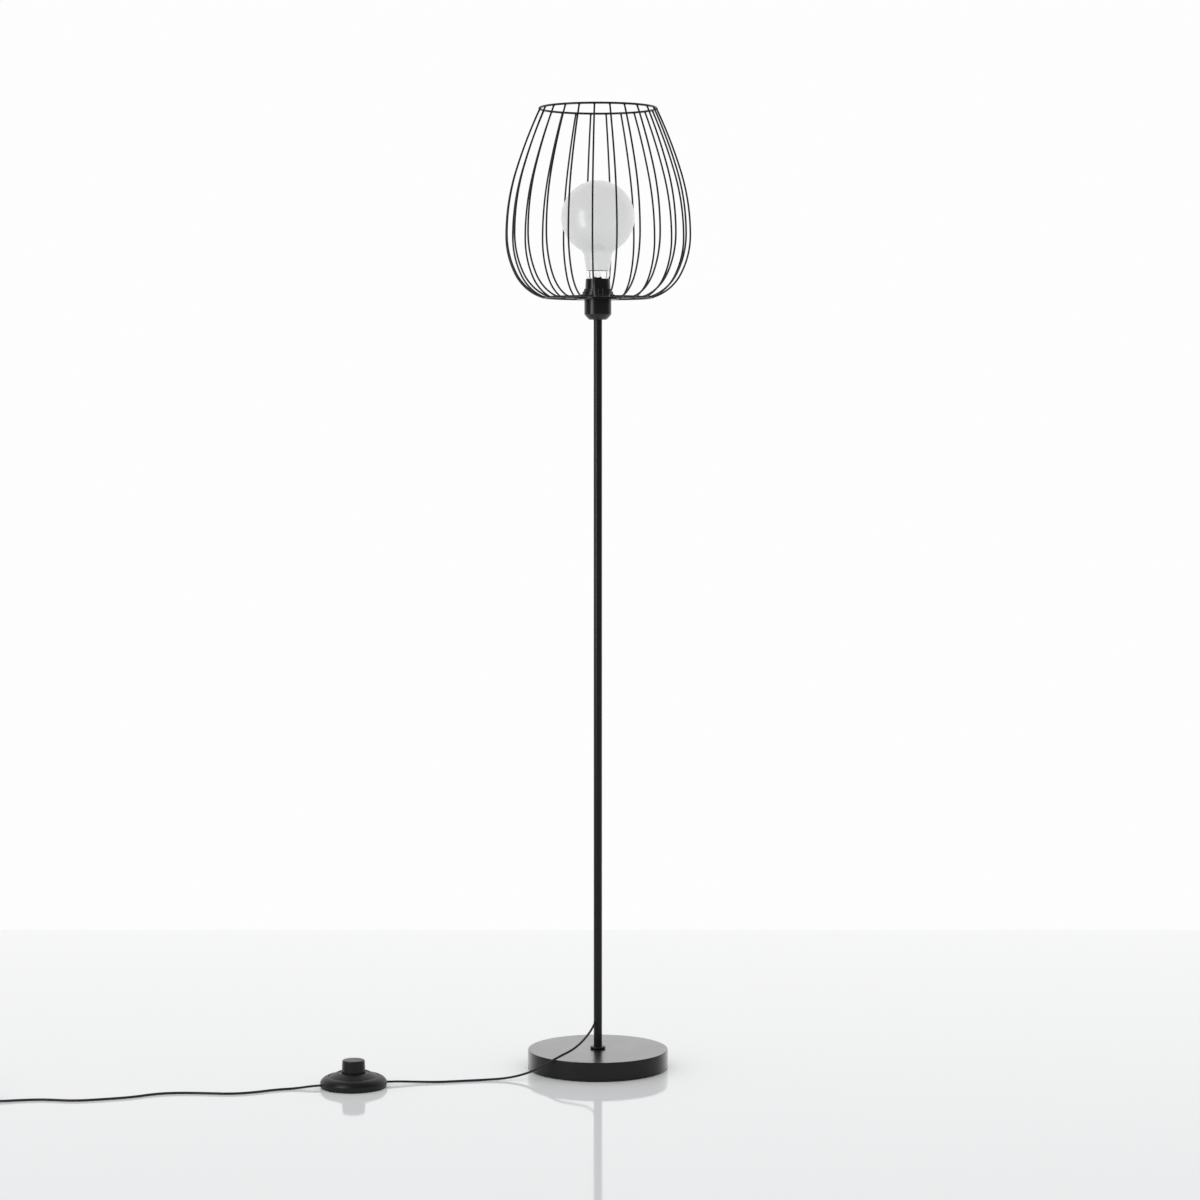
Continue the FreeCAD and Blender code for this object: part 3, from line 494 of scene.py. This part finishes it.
def make_spare_cord(finish):
    """From the switch out of the picture at its left edge, then coiled, and to the plug."""
    start = coil_point(COIL_MIDDLE, 0.0)
    end = coil_point(COIL_MIDDLE, COIL_TURNS)
    boot = low("plug_boot")
    boot_start = Vector((end.x, boot.y, middle("plug_boot").z))
    points = [
        switch_point(-TERMINAL),
        switch_point(-SWITCH_RUN),
        (-460, -160.5, CORD_RADIUS),
        (-489, -168, CORD_RADIUS),
        (-521, -188, CORD_RADIUS),
        (-554, -198, CORD_RADIUS),
        (-592, -193, CORD_RADIUS),
        (-634, -190, CORD_RADIUS),
        (-668, -197, CORD_RADIUS),
        (-700, -220, CORD_RADIUS),
        (-740, -234, CORD_RADIUS),
        (-785, -246, CORD_RADIUS),
        (-830, -235, CORD_RADIUS),
        (-868, -241, CORD_RADIUS),
        (-895, -249.5, 2.05),
        start + Vector((COIL_LEAD, 0, 0))]
    points += [coil_point(COIL_MIDDLE, i / COIL_STEPS) for i in range(round(COIL_TURNS * COIL_STEPS) + 1)]
    points += [
        end + Vector((0, COIL_TAIL, 0)),
        boot_start - Vector((0, BOOT_LEAD, 0)),
        boot_start]
    cord = cord_curve("spare_cord", points, finish,
                      "cord_switch_to_coil", "cord_coil", "cord_plug_lead")


# ---- plug ---------------------------------------------------------------------------------------
PLUG_NECK = (12.0, 10.5)         # width and thickness
PLUG_TAPER = 14.0                # length from the neck to full width
PLUG_CORNER = 4.0
PLUG_GRIPS = 5
PLUG_GRIP_DEPTH = 0.45
PLUG_GRIP_START = 15.0
PLUG_GRIP_PITCH = 2.4
PLUG_EDGE = 1.0                  # rounding of the body's two ends
PLUG_STATIONS = 140              # sections along the body
SECTION_POINTS = 12              # in each corner of a section
BOOT_RINGS = 6
BOOT_LIP = 0.95                  # wall at the boot's tip, on top of a ring
BOOT_GROOVE = 0.55               # depth between the rings
BOOT_GRIP = 0.1                  # the boot's bore is this much inside the cord's skin


def rounded_section(width, thickness, corner, y):
    """Rounded rectangle across Y."""
    w, t = width / 2 - corner, thickness / 2 - corner
    points = []
    for quarter, (side, level) in enumerate([(1, 1), (-1, 1), (-1, -1), (1, -1)]):
        for k in range(SECTION_POINTS + 1):
            angle = math.pi / 2 * (quarter + k / SECTION_POINTS)
            points.append(Vector((side * w + corner * math.cos(angle), y,
                                  level * t + corner * math.sin(angle))))
    return points


def make_plug(finishes):
    """Flat two-pin plug with finger grips, its ribbed boot and pins."""
    back, front = low("plug_body"), high("plug_body")
    width, thickness, length = front.x - back.x, front.z - back.z, front.y - back.y
    place = Matrix.Translation((middle("plug_body").x, back.y, middle("plug_body").z))
    sections = []
    for k in range(PLUG_STATIONS + 1):
        y = length * k / PLUG_STATIONS
        t = smooth_step(y / PLUG_TAPER)
        edge = min(y, length - y, PLUG_EDGE)
        inset = PLUG_EDGE - math.sqrt(PLUG_EDGE ** 2 - (PLUG_EDGE - edge) ** 2)
        grip = (y - PLUG_GRIP_START) / PLUG_GRIP_PITCH
        groove = 0.0
        if 0 < grip < PLUG_GRIPS:
            groove = PLUG_GRIP_DEPTH * math.sin(math.pi * (grip % 1)) ** 2
        w = PLUG_NECK[0] + (width - PLUG_NECK[0]) * t - 2 * inset
        h = PLUG_NECK[1] + (thickness - PLUG_NECK[1]) * t - 2 * inset - 2 * groove
        corner = min(PLUG_CORNER, h / 2 - 0.3)
        sections.append(rounded_section(w, h, corner, y))
    points, faces = lofted(sections)
    body = piece("plug_moulding", [(points, faces, place)], finishes["plug_plastic"], "lamp", "plug_body")

    boot_foot, boot_head = low("plug_boot"), high("plug_boot")
    root = (boot_head.z - boot_foot.z) / 2
    reach = boot_head.y - boot_foot.y
    tip = CORD_RADIUS + BOOT_LIP
    bore = CORD_RADIUS - BOOT_GRIP
    corners = [(bore, 0, 0)]
    for i in range(BOOT_RINGS):
        # Each ring is followed by a groove over the middle half of its share of the length.
        a, b = (i + 0.25) / BOOT_RINGS, (i + 0.75) / BOOT_RINGS
        before, after = tip + (root - tip) * a, tip + (root - tip) * b
        corners += [(before, reach * (a - 0.2 / BOOT_RINGS), 0.3),
                    (before, reach * a, 0.25),
                    (before - BOOT_GROOVE, reach * (a + 0.05 / BOOT_RINGS), 0.2),
                    (after - BOOT_GROOVE, reach * (b - 0.05 / BOOT_RINGS), 0.2),
                    (after, reach * b, 0.25)]
    corners += [(root, reach, 0), (bore, reach, 0)]
    lying = Matrix.Translation((middle("plug_boot").x, boot_foot.y, middle("plug_boot").z)) @ \
        Matrix.Rotation(math.radians(-90), 4, "X")
    boot = turned_piece("plug_strain_relief", corners, finishes["cord_sheath"], "lamp", "plug_boot",
                        place=lying, segments=48)
    dress(finishes["plated_pins"], "plug_pins")
    dress(finishes["plug_plastic"], "cord_tie")
    return [body, boot, "plug_pins", "cord_tie"]


# ---- base ---------------------------------------------------------------------------------------
COVER_SHEET = 1.2
COVER_ROUNDING = 1.5
COVER_INNER_ROUNDING = 0.5
COVER_EDGE = 0.35        # rounding of the sheet's lower edge
BOLT_HOLE = 4.05


def make_base(finishes):
    radius, top, foot = radius_of("base_cover"), high("base_cover").z, low("base_cover").z
    turned_piece("base_shell", [
        (BOLT_HOLE, top, 0), (radius, top, COVER_ROUNDING), (radius, foot, COVER_EDGE),
        (radius - COVER_SHEET, foot, COVER_EDGE),
        (radius - COVER_SHEET, top - COVER_SHEET, COVER_INNER_ROUNDING),
        (BOLT_HOLE, top - COVER_SHEET, 0)],
        finishes["base_lacquer"], "lamp", "base_cover", segments=256)
    dress(finishes["cast_filler"], "base_weight")
    dress(finishes["felt"], "base_pad")
    dress(finishes["zinc_steel"], "base_bolt", "base_washer")


# ---- pole ---------------------------------------------------------------------------------------
def make_pole(finishes):
    dress(finishes["black_steel"], "pole_lower", "pole_middle", "pole_upper", "pole_foot_collar")
    dress(finishes["zinc_steel"], "pole_bushes", "pole_nipples")
    dress(finishes["black_rubber"], "pole_cord_grommet")
    dress(finishes["cord_sheath"], "cord_in_pole")


# ---- lampholder ---------------------------------------------------------------------------------
BARREL_RADIUS = 19.6
BARREL_BORE = 17.2
BARREL_MOUTH_RADIUS = 18.85
RING_FLANGE_HEIGHT = 2.5
RING_STEPS = (26.2, 23.95, 21.7)
RING_GRIPS = 20
GRIP_DEPTH = 0.9
GRIP_WIDTH = 2.2
RING_PLAY = 0.05         # between ring and barrel


def make_lampholder(finishes):
    plastic = finishes["holder_plastic"]
    dress(plastic, "holder_cup")
    dress(finishes["zinc_steel"], "holder_nipple")
    dress(finishes["white_ceramic"], "holder_core")
    dress(finishes["brass"], "holder_terminal_screws", "holder_screw_shell", "holder_centre_contact")

    skirt_foot, mouth = low("holder_barrel").z, high("holder_barrel").z
    seat, ring_top = high("holder_cup").z, high("shade_ring").z
    skirt = radius_of("holder_core")
    turned_piece("holder_sleeve", [
        (BARREL_BORE, skirt_foot, 0), (skirt, skirt_foot, 0), (skirt, seat, 0), (BARREL_RADIUS, seat, 0),
        (BARREL_RADIUS, ring_top, 0.3), (BARREL_MOUTH_RADIUS, mouth, 0.5), (BARREL_BORE, mouth, 0.4)],
        plastic, "lamp", "holder_barrel", segments=128)

    foot, flange = low("shade_ring").z, radius_of("shade_ring")
    flange_top = foot + RING_FLANGE_HEIGHT
    step_height = (ring_top - flange_top) / len(RING_STEPS)
    bore = BARREL_RADIUS + RING_PLAY
    corners = [(bore, foot, 0), (flange, foot, 0.4), (flange, flange_top, 0.5)]
    for i, radius in enumerate(RING_STEPS):
        z = flange_top + i * step_height
        corners += [(radius, z, 0.15), (radius, z + step_height, 0.45)]
    corners += [(bore, ring_top, 0.2)]

    def grips(r, z, angle):
        """Grooves round the stepped part, as deep as a finger-grip."""
        if z <= flange_top or r < RING_STEPS[-1] - 1:
            return r
        turn = angle * RING_GRIPS / (2 * math.pi)
        off = abs(turn - round(turn)) * 2 * math.pi * r / RING_GRIPS
        return r - GRIP_DEPTH * max(0.0, 1 - (2 * off / GRIP_WIDTH) ** 2)

    turned_piece("shade_ring_knurled", corners, plastic, "lamp", "shade_ring", segments=400, ripple=grips)


# ---- cage ---------------------------------------------------------------------------------------
FRONT_RIBS = (12, -167.2, 14.8)      # count, azimuth of the first, pitch in degrees
BACK_RIBS = (11, 20.6, 15.3)
RIB_WIRE = 1.4
FOOT_SLOPE = math.radians(15.0)
HEAD_LEAN = math.radians(25.5)


BEAD_START, BEAD_THICKEST, BEAD_SHOULDER = 0.35, 0.8, 1.25   # from the ring's middle, in its radii
BEAD_TAIL = 1.3          # length past the shoulder
BEAD_THICKNESS = 0.42    # on the wire


def weld(ring_radius, height, wire, azimuth, way, rib=RIB_WIRE):
    """Small bead where a wire of radius rib leaves a ring, in its direction way in the upright plane."""
    tail = wire * BEAD_SHOULDER + BEAD_TAIL
    corners = [(0, wire * BEAD_START, 0), (rib + 0.10, wire * BEAD_START, 0.3),
               (rib + BEAD_THICKNESS, wire * BEAD_THICKEST, 0.4),
               (rib + 0.34, wire * BEAD_SHOULDER, 0.5), (rib + 0.02, tail, 0.2), (0, tail, 0)]
    points, faces = turned(rounded(corners), 20)
    tilt = math.atan2(way[0], way[1])
    place = Matrix.Rotation(azimuth, 4, "Z") @ Matrix.Translation((ring_radius, 0, height)) @ \
        Matrix.Rotation(tilt, 4, "Y")
    return points, faces, place


def make_cage(finishes):
    steel = finishes["black_steel"]
    azimuths = [math.radians(first + pitch * i)
                for count, first, pitch in (FRONT_RIBS, BACK_RIBS) for i in range(count)]
    ribs = [f"cage_ribs_{pair + 1:02d}" for pair in range((len(azimuths) + 1) // 2)]
    arms = ["cage_arm_a", "cage_arm_b", "cage_arm_c"]
    dress(steel, "cage_top_ring", "cage_bottom_ring", "cage_washer", *arms, *ribs)
    top, bottom = middle("cage_top_ring").z, middle("cage_bottom_ring").z
    top_wire = high("cage_top_ring").z - top
    bottom_wire = high("cage_bottom_ring").z - bottom
    top_radius = radius_of("cage_top_ring") - top_wire
    bottom_radius = radius_of("cage_bottom_ring") - bottom_wire
    foot_way = (math.cos(FOOT_SLOPE), math.sin(FOOT_SLOPE))
    head_way = (math.sin(HEAD_LEAN), -math.cos(HEAD_LEAN))
    arm_way = (-1.0, 0.0)
    feet = [weld(bottom_radius, bottom, bottom_wire, a, foot_way) for a in azimuths]
    feet += [weld(bottom_radius, bottom, bottom_wire, math.radians(90 + 120 * i), arm_way, bottom_wire)
             for i in range(3)]
    piece("cage_welds_below", feet, steel, "lamp")
    heads = [weld(top_radius, top, top_wire, a, head_way) for a in azimuths]
    piece("cage_welds_above", heads, steel, "lamp")


# ---- bulb ---------------------------------------------------------------------------------------
CAP_PITCH = 3.629
CAP_THREAD_DEPTH = 0.9
CAP_THREAD_START = 2.4
CAP_HEM = 1.2
CAP_SHEET = 0.5
CAP_FADE = 1.5           # length over which the thread fades out
CAP_NECK = 2.0           # depth of the mouth above the thread, inside
CAP_LEVELS = 96


def make_bulb_cap(finish):
    """Cap with its rolled thread, a helix that fades out at both ends."""
    foot, top, crest = low("bulb_cap").z, high("bulb_cap").z, radius_of("bulb_cap")
    valley = crest - CAP_THREAD_DEPTH
    foot_radius = radius_of("bulb_insulator")
    thread_foot, thread_top = foot + CAP_THREAD_START, top - CAP_HEM

    def thread(r, z, angle):
        if not valley - 0.01 <= r <= crest or not thread_foot < z < thread_top:
            return r
        phase = (z - thread_foot) / CAP_PITCH - angle / (2 * math.pi)
        fade = min(1.0, (z - thread_foot) / CAP_FADE, (thread_top - z) / CAP_FADE)
        return valley + CAP_THREAD_DEPTH * fade * math.sin(math.pi * phase) ** 2

    outline = [(foot_radius, foot)]
    outline += [(valley, thread_foot + (thread_top - thread_foot) * k / CAP_LEVELS)
                for k in range(CAP_LEVELS + 1)]
    outline += rounded([(crest, thread_top + 0.5, 0.2), (crest, top, 0.2), (crest - CAP_SHEET, top, 0.2)])
    outline += [(crest - CAP_SHEET, top - CAP_NECK), (valley - CAP_SHEET, top - CAP_NECK - 0.1),
                (valley - CAP_SHEET, thread_foot), (foot_radius - CAP_SHEET, foot)]
    points, faces = turned(outline, 128, thread)
    piece("bulb_cap_threaded", [(points, faces, UNTURNED)], finish, "bulb", "bulb_cap")


def make_bulb(finishes):
    dress(finishes["opal_glass"], "bulb_globe")
    dress(finishes["dark_glass"], "bulb_insulator")
    dress(finishes["solder"], "bulb_tip")
    dress(finishes["clear_glass"], "bulb_stem")
    dress(finishes["filament"], "bulb_filament")
    make_bulb_cap(finishes["cap_metal"])


# ---- foot switch --------------------------------------------------------------------------------
SWITCH_WALL = 2.2
RIM_TOP = 8.2
OUTER_RIDGE = (39.0, 16.8)
INNER_RIDGE = (24.0, 22.8)
RIDGE_STEP = 1.1
RIDGE_WIDTH = 0.4
RIM_BULGE = 1.9
DOME_BULGE = 0.4
BUTTON_HOLE = 18.6
COVER_FLOOR = 19.5
BUTTON_FOOT_RADIUS = 18.3
BUTTON_TOP_RADIUS = 17.1
BUTTON_WALL = 2.2
BUTTON_ROUNDING = 2.0
BUTTON_FLANGE = 2.0
BUTTON_BOSS = 5.2
BUTTON_BORE = 3.06


def make_switch(finishes):
    """Stepped dome with its push button. The plate and what is inside stay as they are."""
    centre = middle("switch_cover")
    place = Matrix.Translation((centre.x, centre.y, 0)) @ Matrix.Rotation(SWITCH_TURN, 4, "Z")
    radius, foot = radius_of("switch_cover"), low("switch_cover").z
    rim = (radius, RIM_TOP)
    outer_foot = (OUTER_RIDGE[0] - RIDGE_WIDTH, OUTER_RIDGE[1] - RIDGE_STEP)
    inner_foot = (INNER_RIDGE[0] - RIDGE_WIDTH, INNER_RIDGE[1] - RIDGE_STEP)
    corners = [(radius - SWITCH_WALL, foot, 0), (radius, foot, 0.4), (*rim, 0.35)]
    corners += bow(rim, OUTER_RIDGE, RIM_BULGE, 24)
    corners += [(*OUTER_RIDGE, 0.22), (*outer_foot, 0.15)]
    corners += bow(outer_foot, INNER_RIDGE, DOME_BULGE, 24)
    corners += [
        (*INNER_RIDGE, 0.22), (*inner_foot, 0.15), (BUTTON_HOLE, inner_foot[1], 0.35),
        (BUTTON_HOLE, COVER_FLOOR, 0.2), (INNER_RIDGE[0], COVER_FLOOR, 0),
        (outer_foot[0], outer_foot[1] - SWITCH_WALL, 0), (radius - SWITCH_WALL, RIM_TOP, 0)]
    turned_piece("switch_dome", corners, finishes["switch_plastic"], "lamp", "switch_cover",
                 place=place, segments=192)

    flange_foot, top = low("switch_button").z, high("switch_button").z
    flange_top = flange_foot + BUTTON_FLANGE
    ceiling = top - BUTTON_WALL
    turned_piece("switch_push_button", [
        (0, top, 0), (BUTTON_TOP_RADIUS, top, BUTTON_ROUNDING), (BUTTON_FOOT_RADIUS, flange_top, 0.2),
        (radius_of("switch_button"), flange_top, 0.3), (radius_of("switch_button"), flange_foot, 0.3),
        (BUTTON_FOOT_RADIUS - BUTTON_WALL, flange_foot, 0.2),
        (BUTTON_TOP_RADIUS - BUTTON_WALL, ceiling, 0.6), (BUTTON_BOSS, ceiling, 0.6),
        (BUTTON_BOSS, flange_foot, 0.3), (BUTTON_BORE, flange_foot, 0.3), (BUTTON_BORE, ceiling, 0),
        (0, ceiling, 0)],
        finishes["button_plastic"], "switch_button", "switch_button", place=place, segments=128)
    dress(finishes["switch_plastic"], "switch_base")
    dress(finishes["brass"], "switch_contacts")
    dress(finishes["zinc_steel"], "switch_screws", "switch_spring")
    dress(finishes["rotor_plastic"], "switch_rotor")


# ---- studio -------------------------------------------------------------------------------------
WORLD_LIGHT = 1.06       # light on the object from the level
OVERHEAD_LIGHT = 0.86    # light from straight above
BACKDROP = 0.985         # brightness of the backdrop as it is seen, reflected or looked through
STUDIO_FRONT = 0.10      # brightness of the studio behind the camera, as it is reflected
STUDIO_TURN = 0.8        # it rises to the backdrop's brightness this far towards the back
FLOOR_EDGE = 1.289       # metres behind the lamp, where floor and backdrop meet
FLOOR_NEAR = -0.8        # metres, where the floor's front colour ends and painted light towards the backdrop begins
FLOOR_REACH = 6.0
FLOOR_ROUGHNESS, FLOOR_IOR = 0.06, 1.45
# The floor's colour lightens from front to back: painted light where it nears the backdrop.
FLOOR_FRONT = (0.84, 0.85, 0.86, 1)
FLOOR_BACK_PAINTED_LIGHT = (0.975, 0.98, 0.985, 1)
WINDOW_PLACE, WINDOW_AIM = (-1.18, -0.92, 1.10), (0, 0, 1.10)
WINDOW_SIZE = (0.55, 1.3)
WINDOW_RADIANCE = 4.5


def make_world():
    """White as far as it is seen or looked through. Reflections also meet the dark front of the studio."""
    world = bpy.data.worlds.new("studio")
    bpy.context.scene.world = world
    world.use_nodes = True
    tree = world.node_tree
    path = add_node(tree, "ShaderNodeLightPath").outputs
    way = add_node(tree, "ShaderNodeTexCoord").outputs["Generated"]
    back = add_node(tree, "ShaderNodeSeparateXYZ", Vector=way).outputs["Y"]
    studio = add_node(tree, "ShaderNodeMapRange", {"interpolation_type": "SMOOTHSTEP"}, Value=back,
                      From_Min=0.0, From_Max=STUDIO_TURN, To_Min=STUDIO_FRONT, To_Max=BACKDROP).outputs[0]
    rise = add_node(tree, "ShaderNodeSeparateXYZ", Vector=way).outputs["Z"]
    around = add_node(tree, "ShaderNodeMapRange", Value=rise, From_Min=0.0, From_Max=1.0,
                      To_Min=WORLD_LIGHT, To_Max=OVERHEAD_LIGHT).outputs[0]
    level = add_node(tree, "ShaderNodeMix", Factor=path["Is Glossy Ray"], A=around, B=studio)
    for name in ("Is Camera Ray", "Is Transmission Ray"):
        level = add_node(tree, "ShaderNodeMix", Factor=path[name], A=level.outputs[0], B=BACKDROP)
    background = tree.nodes["Background"]
    background.inputs["Color"].default_value = (1, 1, 1, 1)
    tree.links.new(level.outputs[0], background.inputs["Strength"])


def make_floor():
    corners = [(-FLOOR_REACH, -FLOOR_REACH, 0), (FLOOR_REACH, -FLOOR_REACH, 0),
               (FLOOR_REACH, FLOOR_EDGE, 0), (-FLOOR_REACH, FLOOR_EDGE, 0)]
    data = bpy.data.meshes.new("floor")
    data.from_pydata(corners, [], [(0, 1, 2, 3)])
    material = bpy.data.materials.new("floor")
    material.use_nodes = True
    tree = material.node_tree
    shader = tree.nodes["Principled BSDF"]
    place = add_node(tree, "ShaderNodeTexCoord").outputs["Object"]
    depth = add_node(tree, "ShaderNodeSeparateXYZ", Vector=place).outputs["Y"]
    # Painted light: the floor's colour lightens with depth towards the backdrop.
    far = add_node(tree, "ShaderNodeMapRange", Value=depth, From_Min=FLOOR_NEAR,
                   From_Max=FLOOR_EDGE).outputs[0]
    mix = add_node(tree, "ShaderNodeMix", {"data_type": "RGBA"}, Factor=far)
    mix.inputs[6].default_value = FLOOR_FRONT
    mix.inputs[7].default_value = FLOOR_BACK_PAINTED_LIGHT
    tree.links.new(mix.outputs[2], shader.inputs["Base Color"])
    shader.inputs["Roughness"].default_value = FLOOR_ROUGHNESS
    shader.inputs["IOR"].default_value = FLOOR_IOR
    data.materials.append(material)
    floor = bpy.data.objects.new("floor", data)
    bpy.context.scene.collection.objects.link(floor)


def make_light(name, place, aim, size, radiance):
    """Soft rectangular lamp, (width, height) in metres, that faces a point."""
    data = bpy.data.lights.new(name, "AREA")
    data.shape = "RECTANGLE"
    data.size, data.size_y = size
    data.energy = radiance * math.pi * size[0] * size[1]
    light = bpy.data.objects.new(name, data)
    light.location = place
    light.rotation_euler = (Vector(aim) - Vector(place)).to_track_quat("-Z", "Y").to_euler()
    light.visible_camera = False
    light.visible_diffuse = False
    bpy.context.scene.collection.objects.link(light)


def make_lights():
    make_light("window", WINDOW_PLACE, WINDOW_AIM, WINDOW_SIZE, WINDOW_RADIANCE)


# ---- everything ---------------------------------------------------------------------------------
bpy.context.scene.view_settings.view_transform = "Standard"
make_camera()
finishes = make_finishes()
plug_pieces = make_plug(finishes)
make_lamp_cord(finishes["cord_sheath"])
make_spare_cord(finishes["cord_sheath"])
make_base(finishes)
make_pole(finishes)
make_lampholder(finishes)
make_cage(finishes)
make_bulb(finishes)
make_switch(finishes)
make_world()
make_floor()
make_lights()
